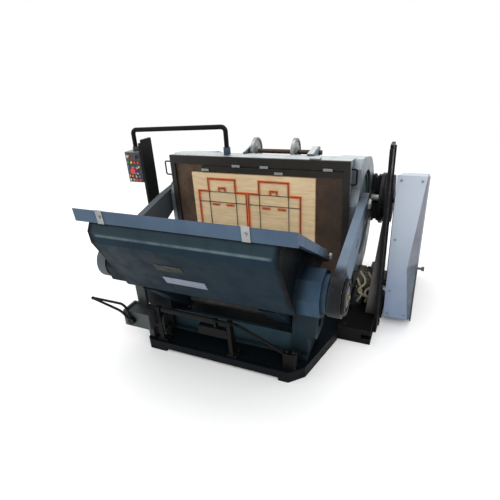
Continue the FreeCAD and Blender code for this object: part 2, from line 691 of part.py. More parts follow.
def v_belts():
    low, high = val("wheel_inner"), val("wheel_outer")
    pitch = (high - low) / GROOVES
    loops = [belt_loop(low + pitch * (i + 0.5), 5, 1.5, 9) for i in range(GROOVES)]
    feature = doc.addObject("Part::Feature", "belts")
    feature.Shape = Part.makeCompound(loops)
    keep(feature, "v_belts")


def corner_facet(name, x, y, levels):
    """A wedge that takes an upright corner off at 45 degrees, by the amount given at each height."""
    spare = 10
    wires = []
    for z, amount in levels:
        points = [Vector(x + spare, y - spare, z), Vector(x - amount - spare, y - spare, z),
                  Vector(x + spare, y + amount + spare, z)]
        wires.append(Part.makePolygon(points + points[:1]))
    feature = doc.addObject("Part::Feature", name)
    feature.Shape = Part.makeLoft(wires, True, True)
    return feature


def guard_profile(name, inset, low, high):
    """The guard's side outline, its roof falling to the back, drawn in by an inset."""
    return side_prism(name, [
        (f"guard_front + {inset}", f"guard_low + {inset}"), (f"guard_back - {inset}", f"guard_low + {inset}"),
        (f"guard_back - {inset}", f"guard_back_high - {inset}"),
        (f"guard_front + {inset}", f"guard_high - {inset}")], low, high)


def guard():
    """Sheet-metal case over the flywheel and belts, and its outer cover with a knob."""
    sheet_thickness = val("guard_sheet")
    levels = ((val("guard_low") - 20, 14), (val("guard_waist"), 60), (val("guard_high") + 20, 1))
    inner_levels = [(z, amount + 1.414 * sheet_thickness) for z, amount in levels]
    shell = cut("guard_shell", guard_profile("guard_outline", 0, "guard_left", "guard_right"),
                [corner_facet("guard_facet", val("guard_right"), val("guard_front"), levels)])
    room = cut("guard_room",
               guard_profile("guard_room_outline", "guard_sheet", "guard_left + guard_sheet",
                             "guard_right + 5"),
               [corner_facet("guard_room_facet", val("guard_right") + 5, val("guard_front") - 5,
                             [(z, amount + 10) for z, amount in inner_levels])])
    shaft_hole = bar("guard_shaft_hole", "x", 60, ("guard_left - 5", "guard_left + 10"),
                     "shaft_y", "shaft_z")
    motor_hole = bar("guard_motor_hole", "x", 40, ("guard_left - 5", "guard_left + 10"),
                     "motor_y", "motor_z")
    keep(cut("guard_case", shell, [room, shaft_hole, motor_hole]), "flywheel_guard")

    panel = side_prism("cover_panel", [
        ("guard_front + 62", "guard_low - 45"), ("guard_back", "guard_low"),
        ("guard_back", "guard_back_high"),
        ("guard_front + 4", "guard_high"), ("guard_front + 62", "guard_waist")],
        "guard_right", "guard_right + 12")
    stem = bar("cover_knob_stem", "x", 9, ("guard_right + 12", "guard_right + 36"), "guard_front + 100",
               "knob_z")
    knob = bar("cover_knob", "x", 17, ("guard_right + 36", "guard_right + 56"), "guard_front + 100",
               "knob_z")
    keep(join("cover", [panel, stem, knob]), "guard_outer_cover")


def bearing_stand():
    """Outboard bearing of the drive shaft, between the clutch drum and the guard."""
    beam = block("stand_beam", ("base_half_rear", 1180), ("shaft_y - 90", "shaft_y + 90"), (0, 60))
    post = side_prism("stand_post", [("shaft_y - 70", 60), ("shaft_y + 70", 60), ("shaft_y + 50", "shaft_z"),
                                     ("shaft_y - 50", "shaft_z")], 958, 992)
    head = bar("stand_head", "x", 70, (958, 992), "shaft_y", "shaft_z")
    bore = bar("stand_bore", "x", "shaft_radius + 0.05", (950, 1000), "shaft_y", "shaft_z")
    guard_foot = block("stand_guard_foot", (1010, 1170), ("shaft_y - 50", "shaft_y + 50"), (60, "guard_low"))
    keep(cut("stand", join("stand_solid", [beam, post, head, guard_foot]), [bore]), "bearing_stand")


# ---------------------------------------------------------------- platen and its linkage

def platen_casting():
    belly = side_prism("platen_belly", [
        ("face_y", "face_high"), ("face_y", "face_low"), ("face_y - 40", "face_low - 12"), (28, 468),
        ("ridge_y", "ridge_z"), (332, "face_high")], "-belly_half", "belly_half")
    round_edges(belly, 46, lambda e: along("x")(e) and abs(e.Vertexes[0].Point.y - 28) < 1)
    round_edges(belly, 34, lambda e: along("x")(e) and abs(e.Vertexes[0].Point.y - val("ridge_y")) < 1)
    flange = block("platen_flange", ("-flange_half", "flange_half"), ("face_y - 42", "face_y"),
                   ("face_low", "face_high"))
    pieces = [belly, flange]
    for side, sign in SIDES.items():
        def span(low, high):
            return (low, high) if sign > 0 else (f"-({high})", f"-({low})")
        flat = "boss_inradius * 0.41421"
        octagon = [(f"trunnion_y + {a} * boss_inradius", f"trunnion_z + {b} * {flat}")
                   for a, b in ((1, -1), (1, 1))]
        octagon += [(f"trunnion_y + {a} * {flat}", f"trunnion_z + {b} * boss_inradius")
                    for a, b in ((1, 1), (-1, 1))]
        octagon += [(f"trunnion_y + {a} * boss_inradius", f"trunnion_z + {b} * {flat}")
                    for a, b in ((-1, 1), (-1, -1))]
        octagon += [(f"trunnion_y + {a} * {flat}", f"trunnion_z + {b} * boss_inradius")
                    for a, b in ((-1, -1), (1, -1))]
        pieces.append(side_prism(f"{side}_boss", octagon, *span("belly_half - 10", "boss_end - 30")))
        pieces.append(bar(f"{side}_boss_nose", "x", "boss_inradius - 22", span("boss_end - 30", "boss_end"),
                          "trunnion_y", "trunnion_z"))
        leg = [(-72, 30), (30, 480), (260, 220), (66, -42)]
        pieces.append(side_prism(f"{side}_leg_web", leg, *span("leg_inner", "leg_outer")))
        pieces.append(bar(f"{side}_leg_hub", "x", 80, span("leg_inner", "leg_outer"), 0, 0))
    bores = [bar("platen_hinge_bore", "x", "hinge_radius", ("-leg_outer - 5", "leg_outer + 5"), 0, 0),
             bar("platen_trunnion_bore", "x", "trunnion_radius", ("-boss_end - 5", "boss_end + 5"),
                 "trunnion_y", "trunnion_z")]
    keep(on_platen(cut("platen", join("platen_solid", pieces), bores)), "platen_casting")
    keep(on_platen(block("steel_plate", ("-face_plate_half", "face_plate_half"),
                         ("face_y", "face_y + face_plate"), ("face_low + 15", "face_high - 15"))),
         "platen_face_plate")
    keep(on_platen(bar("hinge_bar", "x", "hinge_radius", (-598, 598), 0, 0)), "hinge_shaft")


def trunnions():
    pins, caps = [], []
    for side, sign in SIDES.items():
        low, high = (480, 840) if sign > 0 else (-840, -480)
        pins.append(bar(f"{side}_trunnion", "x", "trunnion_radius", (low, high), "trunnion_y", "trunnion_z"))
        cap = (840, 856) if sign > 0 else (-856, -840)
        disc = bar(f"{side}_cap_disc", "x", 104, cap, "trunnion_y", "trunnion_z")
        recess = (850, 861) if sign > 0 else (-861, -850)
        groove = ring_bar(f"{side}_cap_groove", 82, 62, recess, "trunnion_y", "trunnion_z")
        caps.append(cut(f"{side}_cap", disc, [groove]))
    keep(on_platen(group("trunnion_pair", pins)), "trunnion_pins")
    keep(on_platen(group("cap_pair", caps)), "trunnion_caps")


def name_plate():
    """Two blank plates riveted to the sloping front of the belly."""
    foot, head = Vector(0, 28, 468), Vector(0, val("ridge_y"), val("ridge_z"))
    slope = (head - foot).normalize()
    tilt = math.degrees(math.atan2(-slope.y, slope.z))
    outward = Vector(0, -slope.z, slope.y)
    plates = []
    for name, left, width, height, share in (("white_plate", -212, 290, 72, 0.31),
                                             ("olive_plate", -212, 185, 62, 0.60)):
        plate = doc.addObject("Part::Box", name)
        plate.Length, plate.Width, plate.Height = width, 2.5, height
        corner = foot + slope * (share * (head - foot).Length) + outward * 2.5 + Vector(left, 0, 0)
        plate.Placement = FreeCAD.Placement(corner, FreeCAD.Rotation(Vector(1, 0, 0), tilt))
        plates.append(plate)
    keep(on_platen(group("plates", plates)), "name_plates")


def safety_bar():
    """A bar round the platen's top and ends that stops the press when it is pushed."""
    rail = side_prism("bar_rail", [(383, 938), (449, 984), (449, 931), (402, 931)], "-bar_half", "bar_half")
    pieces = [rail]
    pivots = []
    holes = []
    for side, sign in SIDES.items():
        def span(low, high):
            return (low, high) if sign > 0 else (f"-({high})", f"-({low})")
        arm = span("bar_half - bar_arm", "bar_half")
        pieces.append(block(f"{side}_bar_arm", arm, (398, 449), ("bar_pivot_z", 940)))
        pieces.append(bar(f"{side}_bar_eye", "x", 25.5, arm, 423.5, "bar_pivot_z"))
        holes.append(bar(f"{side}_bar_hole", "x", 12.05, span("bar_half - bar_arm - 5", "bar_half + 5"),
                         "bar_pivot_y", "bar_pivot_z"))
        pin = bar(f"{side}_bar_pin", "x", 12, span("flange_half", "bar_half + 8"), "bar_pivot_y",
                  "bar_pivot_z")
        head = bar(f"{side}_bar_pin_head", "x", 21, span("bar_half + 2", "bar_half + 16"), "bar_pivot_y",
                   "bar_pivot_z")
        pivots.append(join(f"{side}_bar_pivot", [pin, head]))
    keep(on_platen(cut("bar_frame", join("bar_solid", pieces), holes)), "safety_bar")
    keep(on_platen(group("bar_pivots", pivots)), "bar_pivot_pins")

    clips = []
    lean = math.degrees(math.atan2(449 - 383, 984 - 938))
    for i, x in enumerate((-505, 395)):
        leaf = doc.addObject("Part::Box", f"clip_leaf_{i}")
        leaf.Length, leaf.Width, leaf.Height = 46, 4, 84
        screw = doc.addObject("Part::Cylinder", f"clip_screw_{i}")
        screw.Radius, screw.Height = 8, 8
        screw.Placement = FreeCAD.Placement(Vector(23, 1, 42), FreeCAD.Rotation(Vector(1, 0, 0), 90))
        clip = join(f"clip_{i}", [leaf, screw])
        clip.Placement = FreeCAD.Placement(Vector(x, 383 - 2.4, 938 + 3.4),
                                           FreeCAD.Rotation(Vector(1, 0, 0), -lean))
        clips.append(clip)
    keep(on_platen(group("clip_set", clips)), "bar_clips")


def rod_placement(obj):
    """Carries a rod drawn along +Y from the origin to its trunnion, at its open angle."""
    obj.Placement = FreeCAD.Placement(platen_point(val("trunnion_y"), val("trunnion_z")),
                                      FreeCAD.Rotation(Vector(1, 0, 0), val("rod_angle")))
    return obj


def connecting_rod(side):
    sign = SIDES[side]

    def span(low, high):
        return (low, high) if sign > 0 else (f"-({high})", f"-({low})")

    thick = span("rod_inner", "rod_outer")
    shank = side_prism(f"{side}_rod_shank", [
        (20, "-big_eye + 4"), ("rod_length - 260", -112), ("rod_length - 40", "-small_eye + 2"),
        ("rod_length - 30", "small_eye - 8"), ("rod_length - 190", 86),
        (20, "big_eye - 10")], *thick)
    big = bar(f"{side}_rod_big", "x", "big_eye", span("rod_inner - 4", "rod_outer + 15"), 0, 0)
    small = bar(f"{side}_rod_small", "x", "small_eye", thick, "rod_length", 0)
    pocket = side_prism(f"{side}_rod_pocket", [
        (438, -26), (520, -20), (526, 2), (446, -4)], *span("rod_inner - 20", "rod_outer + 20"))
    bores = [bar(f"{side}_rod_big_bore", "x", "trunnion_radius + 0.05",
                 span("rod_inner - 9", "rod_outer + 20"),
                 0, 0),
             bar(f"{side}_rod_small_bore", "x", "crank_pin_radius", span("rod_inner - 5", "rod_outer + 5"),
                 "rod_length", 0)]
    solid = join(f"{side}_rod_solid", [shank, big, small])
    keep(rod_placement(cut(f"{side}_rod", solid, [pocket] + bores)), f"{side}_connecting_rod")


def crank_pins():
    """Crank pins with their nuts, each ending a little clear of its gear's face."""
    pins = []
    for side, sign in SIDES.items():
        def span(low, high):
            return (low, high) if sign > 0 else (f"-({high})", f"-({low})")
        pin = bar(f"{side}_crank_pin", "x", "crank_pin_radius", span("gear_outer + 2", "rod_outer + 18"),
                  "rod_length", 0)
        nut = new("Part::Prism", f"{side}_crank_nut", Circumradius=40, Height=14)
        nut.Polygon = 6
        nut.Placement = FreeCAD.Placement(Vector(0, val("rod_length"), 0), TURN["x"])
        nut.setExpression("Placement.Base.x", cells(span("rod_outer", "rod_outer + 14")[0]))
        pins.append(join(f"{side}_pin_and_nut", [pin, nut]))
    keep(rod_placement(group("crank_pin_pair", pins)), "crank_pins")


# ---------------------------------------------------------------- reel, control arm and box

def reel():
    keep(bar("reel_bar", "x", "reel_shaft_radius", (-172, 420), "reel_y", "reel_z"), "reel_shaft")
    flanges = []
    for i, x in enumerate((-132, 203)):
        disc = bar(f"reel_disc_{i}", "x", "reel_radius", (x, x + 12), "reel_y", "reel_z")
        hub = bar(f"reel_hub_{i}", "x", 34, (x - 14, x + 26), "reel_y", "reel_z")
        bore = bar(f"reel_bore_{i}", "x", "reel_shaft_radius", (x - 20, x + 30), "reel_y", "reel_z")
        rim = ring_bar(f"reel_rim_{i}", "reel_radius", "reel_radius - 14", (x - 6, x + 18), "reel_y",
                       "reel_z")
        flanges.append(cut(f"reel_flange_{i}", join(f"reel_wheel_{i}", [disc, hub, rim]), [bore]))
    keep(group("reel_flange_pair", flanges), "reel_flanges")

    brackets = []
    for i, (x, thick) in enumerate(((-168, 14), (352, 46))):
        arm = side_prism(f"reel_arm_{i}", [
            (200, "bed_back_top + 9"), (262, "bed_back_top + 2"), (262, 1222), (350, 1206), (408, 1210),
            (416, 1290), (370, 1304), (300, 1296), (200, 1280)], x, x + thick)
        bore = bar(f"reel_arm_bore_{i}", "x", "reel_shaft_radius + 0.05", (x - 5, x + thick + 5), "reel_y",
                   "reel_z")
        brackets.append(cut(f"reel_bracket_{i}", arm, [bore]))
    clip = block("edge_clip", (428, 500), (-8, 44), ("bed_top", "bed_top + 10"))
    brackets.append(clip)
    keep(group("reel_bracket_set", brackets), "reel_brackets")


def control_arm():
    keep(bar("arm_socket", "z", 27, ("bed_top", "bed_top + 54"), "post_x", "post_y"), "control_post")
    points = [(val("post_x"), val("post_y"), val("bed_top") + 54.5),
              (val("post_x"), val("post_y"), val("arm_top")),
              (val("arm_drop_x"), val("arm_drop_y"), val("arm_end_z")),
              (val("arm_drop_x"), val("arm_drop_y"), val("box_low") + val("box_height") + 34)]
    keep(tube("arm_tube", points, val("tube_radius"), 34), "control_arm")

    case = prism("box_case", "XY_Plane", [
        ("arm_drop_x - box_width / 2", "arm_drop_y - box_depth / 2"),
        ("arm_drop_x + box_width / 2", "arm_drop_y - box_depth / 2"),
        ("arm_drop_x + box_width / 2", "arm_drop_y + box_depth / 2"),
        ("arm_drop_x - box_width / 2", "arm_drop_y + box_depth / 2")], "box_height")
    case.setExpression("Placement.Base.z", "Dims.box_low")
    round_edges(case, 8, along("z"))
    socket = bar("box_socket", "z", 25, ("box_low + box_height", "box_low + box_height + 33.5"),
                 "arm_drop_x", "arm_drop_y")
    wells = [bar(f"well_{name}", "y", f"{radius} + 0.4",
                 ("arm_drop_y - box_depth / 2 - 5", "arm_drop_y - box_depth / 2 + 22"), x, z)
             for name, x, z, radius in moving_buttons()]
    keep(cut("box_body", join("box_solid", [case, socket]), wells), "control_box")


def box_spot(dx, dz):
    """A place on the control box's front face, from the face's centre."""
    return val("arm_drop_x") + dx, val("box_low") + val("box_height") / 2 + dz


def moving_buttons():
    """Name, X, Z and radius of each pressed or turned control."""
    table = (("start_button", -48, 42, 10), ("inch_button", -14, 42, 10), ("stop_button", 20, 42, 10),
             ("e_stop_button", 6, -26, 11), ("selector_knob", 42, 88, 12))
    return [(name, *box_spot(dx, dz), radius) for name, dx, dz, radius in table]


def controls():
    """Buttons that travel in their wells, the emergency stop and the mode selector, and fixed lamps."""
    front = "arm_drop_y - box_depth / 2"
    for name, x, z, radius in moving_buttons():
        stem = bar(f"{name}_stem", "y", radius, (f"{front} - 8", f"{front} + 12"), x, z)
        if name == "e_stop_button":
            head = bar(f"{name}_head", "y", 23, (f"{front} - 30", f"{front} - 12"), x, z)
            neck = bar(f"{name}_neck", "y", radius, (f"{front} - 14", f"{front}"), x, z)
            keep(join(name, [stem, neck, head]), name)
        elif name == "selector_knob":
            grip = block(f"{name}_grip", (x - 4, x + 4), (f"{front} - 22", f"{front} - 6"), (z - 13, z + 13))
            keep(join(name, [stem, grip]), name)
        else:
            keep(join(name, [stem, bar(f"{name}_cap", "y", radius - 1.5, (f"{front} - 11", f"{front} - 7"),
                                       x, z)]), name)
    spots = [(-42, 90, 14), (54, 42, 10), (-52, -70, 10), (-18, -72, 10), (16, -74, 10), (50, -72, 10),
             (-50, -104, 10), (-16, -104, 10), (18, -104, 10), (50, -104, 10), (-52, 8, 9), (54, 6, 9)]
    lamps = []
    for i, (dx, dz, radius) in enumerate(spots):
        x, z = box_spot(dx, dz)
        lamps.append(bar(f"lamp_{i}", "y", radius, (f"{front} - 9", front), x, z))
    x, z = box_spot(6, -26)
    plate = block("e_stop_plate", (x - 31, x + 31), (f"{front} - 3", front), (z - 31, z + 31))
    hole = bar("e_stop_plate_hole", "y", 11.4, (f"{front} - 8", f"{front} + 1"), x, z)
    lamps.append(cut("e_stop_collar", plate, [hole]))
    keep(group("lamp_set", lamps), "indicator_lamps")


# ---------------------------------------------------------------- throw-off gear at the front

def throw_off_gear():
    case = block("gear_case", (-740, -515), (-820, -684), (200, 328))
    dish = block("gear_case_dish", (-722, -533), (-804, -700), (318, 335))
    bracket = block("gear_case_arm", (-600, -560), (-745, -700), ("base_height", 320))
    pivot_hole = bar("lever_hole", "y", 12.05, (-830, -770), -660, 262)
    shaft_hole = bar("case_shaft_hole", "x", "cross_radius + 0.05", (-620, -570), "cross_y", "cross_z")
    back = block("gear_case_back", (-690, -612), (-700, -676), (200, 510))
    keep(cut("lever_case", join("lever_case_solid", [case, bracket, back]),
             [dish, pivot_hole, shaft_hole]), "lever_box")

    boss = bar("lever_boss", "y", 26, (-852, -822), -660, 262)
    pin = bar("lever_pin", "y", 12, (-824, -775), -660, 262)
    upper = tube("lever_upper", [(-664, -838, 268), (-690, -838, 396), (-990, -838, 394)], 9, 60)
    lower = tube("lever_lower", [(-664, -838, 256), (-740, -838, 330), (-990, -838, 390)], 9, 120)
    tip = doc.addObject("Part::Sphere", "lever_tip")
    tip.Radius = 13
    tip.Placement = FreeCAD.Placement(Vector(-990, -838, 392), FreeCAD.Rotation())
    keep(join("lever", [boss, pin, upper, lower, tip]), "throw_off_lever")

    shaft = bar("cross_bar", "x", "cross_radius", (-574, 140), "cross_y", "cross_z")
    arm = side_prism("cross_arm", [(-768, 352), (-732, 352), (-738, 285), (-762, 285)], -20, 0)
    collar = bar("cross_collar", "x", 20, (-20, 0), "cross_y", "cross_z")
    weight = block("cross_weight", (-140, 78), (-772, -728), (236, 300))
    keep(join("cross", [shaft, arm, collar, weight]), "cross_shaft")

    brackets = []
    for i, (low, high) in enumerate(((-484, -454), (82, 108))):
        foot = block(f"bracket_foot_{i}", (low - 22, high + 22), (-765, -690),
                     ("base_height", "base_height + 14"))
        web = side_prism(f"bracket_web_{i}", [(-762, "base_height"), (-700, "base_height"), (-726, 352),
                                              (-774, 352)], low, high)
        head = bar(f"bracket_head_{i}", "x", 24, (low, high), "cross_y", "cross_z")
        bore = bar(f"bracket_bore_{i}", "x", "cross_radius + 0.05", (low - 5, high + 5), "cross_y", "cross_z")
        brackets.append(cut(f"bracket_{i}", join(f"bracket_solid_{i}", [foot, web, head]), [bore]))
    right = block("right_foot_bracket", (462, 545), (-742, -690), ("base_height", 196))
    brackets.append(right)
    keep(group("bracket_set", brackets), "shaft_brackets")
    keep(tube("stay", [(120, -716, 330), (300, -716, 255), (453, -716, 179)], 10, 900), "stay_rod")


def hexagon(name, axis, size, height, x, y, z):
    head = doc.addObject("Part::Prism", name)
    head.Polygon = 6
    head.Circumradius = size
    head.Height = height
    head.Placement = FreeCAD.Placement(Vector(x, y, z), TURN[axis])
    return head


def frame_bolts():
    """Hexagon bolt heads of the frame, pedestals, brackets and outriggers."""
    heads = []
    base = val("base_height")
    for sign in SIDES.values():
        for y in (-610, -350):
            heads.append(hexagon(f"pedestal_bolt_{len(heads)}", "z", 15, 14, sign * 535, y, base + 34))
        for y in (-190, 90):
            outer = val("base_half_rear") + 40
            heads.append(hexagon(f"beam_bolt_{len(heads)}", "z", 13, 12, sign * outer, y,
                                 val("beam_height")))
        for z in (30, 85):
            low = val("column_outer") if sign > 0 else -val("column_outer") - 12
            heads.append(hexagon(f"column_bolt_{len(heads)}", "x", 13, 12, low, 20, z))
        for y, z in ((60, 300), (180, 200), (300, 200)):
            low = val("bed_half") if sign > 0 else -val("bed_half") - 14
            heads.append(hexagon(f"cheek_bolt_{len(heads)}", "x", 19, 14, low, y, z))
    for x in (-496, -442, 70, 120):
        heads.append(hexagon(f"bracket_bolt_{len(heads)}", "z", 9, 9, x, -698, base + 14))
    for x in (482, 526):
        heads.append(hexagon(f"foot_bolt_{len(heads)}", "z", 12, 12, x, -716, 196))
    keep(group("bolt_set", heads), "frame_bolts")


def check_and_write():
    doc.recompute()
    for obj in doc.Objects:
        bad = {"Invalid", "Error"} & set(obj.State)
        if bad:
            raise RuntimeError(f"{obj.Label}: {sorted(bad)}")
    os.makedirs("parts", exist_ok=True)
    for obj in NODES:
        if obj.Shape.isNull() or not obj.Shape.isValid():
            raise RuntimeError(f"{obj.Label}: null or invalid shape")
        obj.Shape.exportStep(f"parts/{obj.Label}.step")
    print(len(NODES), "sub-parts written")


base_casting()
front_tie_panel()
pedestals()
bed_block()
for frame_side in SIDES:
    side_frame(frame_side)
rear_cross_beam()
chase_frame()
die_board()
cutting_rules()
chase_clamps()
side_handles()
outriggers()
columns()
motor()
bull_gears()
drive_shaft()
flywheel()
motor_pulley()
v_belts()
guard()
bearing_stand()
platen_casting()
trunnions()
name_plate()
safety_bar()
for rod_side in SIDES:
    connecting_rod(rod_side)
crank_pins()
reel()
control_arm()
controls()
throw_off_gear()
frame_bolts()
check_and_write()
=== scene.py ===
"""Looks of the clamshell platen die-cutting press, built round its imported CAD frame.  Metres."""

import math

import bmesh
import bpy
from mathutils import Matrix, Vector


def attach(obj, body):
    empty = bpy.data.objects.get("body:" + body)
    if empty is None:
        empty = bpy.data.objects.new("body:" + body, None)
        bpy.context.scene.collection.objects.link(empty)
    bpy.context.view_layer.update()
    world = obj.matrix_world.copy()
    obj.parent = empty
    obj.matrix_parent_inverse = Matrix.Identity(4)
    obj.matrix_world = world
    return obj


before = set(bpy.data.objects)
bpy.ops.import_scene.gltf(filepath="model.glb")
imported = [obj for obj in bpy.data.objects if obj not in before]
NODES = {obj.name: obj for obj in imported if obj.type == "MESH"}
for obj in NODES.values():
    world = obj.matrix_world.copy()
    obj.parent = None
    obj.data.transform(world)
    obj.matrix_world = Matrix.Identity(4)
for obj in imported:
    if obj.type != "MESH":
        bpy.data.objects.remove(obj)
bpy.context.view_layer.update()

# Lines along X that shapes and looks share, each as (y, z).
TRUNNION = (-0.740, 0.700)
DRIVE_SHAFT = (0.769, 0.800)
CROSS_SHAFT = (-0.750, 0.352)

FLOOR_HALF = 30
FLOOR_DROP = 0.0005          # keeps the floor off the undersides of the feet
MIX_A, MIX_B, MIX_RESULT = 6, 7, 2   # the colour sockets of a Mix node


# ---------------------------------------------------------------- camera, floor and light

def make_camera():
    """The photograph's viewpoint, fitted to the press in perspective."""
    right = Vector((0.9170, 0.3950, -0.0561))
    up = Vector((-0.1220, 0.4115, 0.9032))
    forward = Vector((-0.3798, 0.8213, -0.4255))
    data = bpy.data.cameras.new("camera")
    data.sensor_width = 36
    data.lens = 28.574
    camera = bpy.data.objects.new("camera", data)
    turn = Matrix((right, up, -forward)).transposed().to_4x4()
    camera.matrix_world = Matrix.Translation((1.163, -2.659, 1.908)) @ turn
    bpy.context.scene.collection.objects.link(camera)
    bpy.context.scene.camera = camera


def area_light(name, place, target, size, power, tint=(1, 1, 1)):
    """A rectangular lamp at a place, turned towards its target."""
    data = bpy.data.lights.new(name, "AREA")
    data.shape = "RECTANGLE"
    data.size, data.size_y = size
    data.energy = power
    data.color = tint
    light = bpy.data.objects.new(name, data)
    light.location = place
    light.rotation_euler = (Vector(target) - Vector(place)).to_track_quat("-Z", "Y").to_euler()
    bpy.context.scene.collection.objects.link(light)


def make_studio():
    """Four soft lamps round the press, on a white floor in a white world."""
    area_light("key", (2.2, -3.6, 3.6), (0, 0, 0.7), size=(2.4, 2.0), power=75)
    area_light("fill", (-3.6, -2.6, 2.4), (0, 0, 0.6), size=(2.6, 2.6), power=22, tint=(0.95, 0.98, 1))
    area_light("top", (0, 0.4, 4.2), (0, 0, 0.5), size=(4, 3), power=60)
    area_light("back", (1.5, 4.0, 3.0), (0, 0.4, 0.8), size=(3, 2), power=15)
    world = bpy.data.worlds.new("studio")
    world.use_nodes = True
    background = world.node_tree.nodes["Background"]
    background.inputs["Color"].default_value = (1, 1, 1, 1)
    background.inputs["Strength"].default_value = 1.0
    bpy.context.scene.world = world
    bpy.context.scene.view_settings.view_transform = "Standard"

    mesh = bpy.data.meshes.new("floor")
    corners = [(x * FLOOR_HALF, y * FLOOR_HALF, 0) for x, y in ((-1, -1), (1, -1), (1, 1), (-1, 1))]
    mesh.from_pydata(corners, [], [(0, 1, 2, 3)])
    floor = bpy.data.objects.new("floor", mesh)
    floor.location.z = -FLOOR_DROP
    bpy.context.scene.collection.objects.link(floor)
    g = Graph("floor_paper")
    g.shader(colour=(1.0, 1.0, 1.0), rough=1.0, specular=0.0)
    mesh.materials.append(g.material)


# ---------------------------------------------------------------- materials

class Graph:
    """A node material, built by short calls."""

    def __init__(self, name):
        self.material = bpy.data.materials.new(name)
        self.material.use_nodes = True
        self.tree = self.material.node_tree
        self.tree.nodes.clear()
        self.place = self.add("ShaderNodeTexCoord").outputs["Object"]

    def add(self, kind, **settings):
        """A new node of a kind, with its settings."""
        node = self.tree.nodes.new(kind)
        for key, value in settings.items():
            setattr(node, key, value)
        return node

    def wire(self, value, socket):
        """Feed a socket from another socket, a colour or a plain value."""
        if isinstance(value, bpy.types.NodeSocket):
            self.tree.links.new(value, socket)
        elif isinstance(value, tuple) and len(value) == 3 and socket.type == "RGBA":
            socket.default_value = (*value, 1)
        else:
            socket.default_value = value

    def noise(self, scale, detail=4, rough=0.5, stretch=None, distort=0.0):
        """Noise in object space.  A larger stretch number packs it tighter along that axis."""
        node = self.add("ShaderNodeTexNoise")
        node.inputs["Scale"].default_value = scale
        node.inputs["Detail"].default_value = detail
        node.inputs["Roughness"].default_value = rough
        node.inputs["Distortion"].default_value = distort
        place = self.place
        if stretch:
            mapping = self.add("ShaderNodeMapping")
            mapping.inputs["Scale"].default_value = stretch
            self.wire(place, mapping.inputs["Vector"])
            place = mapping.outputs["Vector"]
        self.wire(place, node.inputs["Vector"])
        return node.outputs["Fac"]

    def ramp(self, value, low, high, out_low=0.0, out_high=1.0):
        """A smooth step from out_low, at low, to out_high, at high."""
        node = self.add("ShaderNodeMapRange")
        node.interpolation_type = "SMOOTHSTEP"
        for socket, number in zip(("From Min", "From Max", "To Min", "To Max"),
                                  (low, high, out_low, out_high)):
            node.inputs[socket].default_value = number
        self.wire(value, node.inputs["Value"])
        return node.outputs["Result"]

    def math(self, operation, a, b=0.0):
        node = self.add("ShaderNodeMath", operation=operation)
        self.wire(a, node.inputs[0])
        self.wire(b, node.inputs[1])
        return node.outputs[0]

    def mix(self, share, a, b):
        """Colour a, going over to colour b as the share goes from 0 to 1."""
        node = self.add("ShaderNodeMix", data_type="RGBA")
        self.wire(share, node.inputs["Factor"])
        self.wire(a, node.inputs[MIX_A])
        self.wire(b, node.inputs[MIX_B])
        return node.outputs[MIX_RESULT]

    def axis(self, letter):
        """The object-space coordinate along X, Y or Z."""
        node = self.add("ShaderNodeSeparateXYZ")
        self.wire(self.place, node.inputs[0])
        return node.outputs[letter]

    def facing(self, direction, low, high):
        """Nearly 1 where the surface faces the direction."""
        normal = self.add("ShaderNodeNewGeometry").outputs["Normal"]
        dot = self.add("ShaderNodeVectorMath", operation="DOT_PRODUCT")
        self.wire(normal, dot.inputs[0])
        dot.inputs[1].default_value = direction
        return self.ramp(dot.outputs["Value"], low, high)

    def near_axis(self, y, z, low, high):
        """1 close to a line along X, falling to 0."""
        dy = self.math("SUBTRACT", self.axis("Y"), y)
        dz = self.math("SUBTRACT", self.axis("Z"), z)
        square = self.math("ADD", self.math("MULTIPLY", dy, dy), self.math("MULTIPLY", dz, dz))
        return self.ramp(self.math("SQRT", square), low, high, 1.0, 0.0)

    def edges(self, radius, low=0.006, high=0.09):
        """Nearly 1 along the object's sharp edges."""
        bevel = self.add("ShaderNodeBevel", samples=4)
        bevel.inputs["Radius"].default_value = radius
        true = self.add("ShaderNodeNewGeometry").outputs["Normal"]
        dot = self.add("ShaderNodeVectorMath", operation="DOT_PRODUCT")
        self.wire(bevel.outputs["Normal"], dot.inputs[0])
        self.wire(true, dot.inputs[1])
        return self.ramp(self.math("SUBTRACT", 1.0, dot.outputs["Value"]), low, high)

    def crevices(self, reach):
        """Nearly 1 where surfaces crowd together; the materials paint shade, and some soiling, there."""
        node = self.add("ShaderNodeAmbientOcclusion", samples=6)
        node.inputs["Distance"].default_value = reach
        return self.ramp(node.outputs["AO"], 0.35, 0.85, 1.0, 0.0)

    def bump(self, height, strength, distance, before=None):
        """A normal roughened by a height, on top of the normal before it."""
        node = self.add("ShaderNodeBump")
        node.inputs["Strength"].default_value = strength
        node.inputs["Distance"].default_value = distance
        self.wire(height, node.inputs["Height"])
        if before is not None:
            self.wire(before, node.inputs["Normal"])
        return node.outputs["Normal"]

    def soft_edge(self, radius):
        """A normal rounded over at sharp edges."""
        node = self.add("ShaderNodeBevel", samples=4)
        node.inputs["Radius"].default_value = radius
        return node.outputs["Normal"]

    def shader(self, colour, rough, metal=0.0, normal=None, coat=0.0, specular=0.5):
        """The finished material, from its colour, roughness and the rest."""
        bsdf = self.add("ShaderNodeBsdfPrincipled")
        self.wire(colour, bsdf.inputs["Base Color"])
        self.wire(rough, bsdf.inputs["Roughness"])
        self.wire(metal, bsdf.inputs["Metallic"])
        bsdf.inputs["Specular IOR Level"].default_value = specular
        bsdf.inputs["Coat Weight"].default_value = coat
        bsdf.inputs["Coat Roughness"].default_value = 0.2
        if normal is not None:
            self.wire(normal, bsdf.inputs["Normal"])
        out = self.add("ShaderNodeOutputMaterial")
        self.tree.links.new(bsdf.outputs[0], out.inputs["Surface"])
        return self.material


def shade(colour, factor):
    """The colour made darker or lighter, kept at or below 1."""
    return tuple(min(1.0, c * factor) for c in colour)


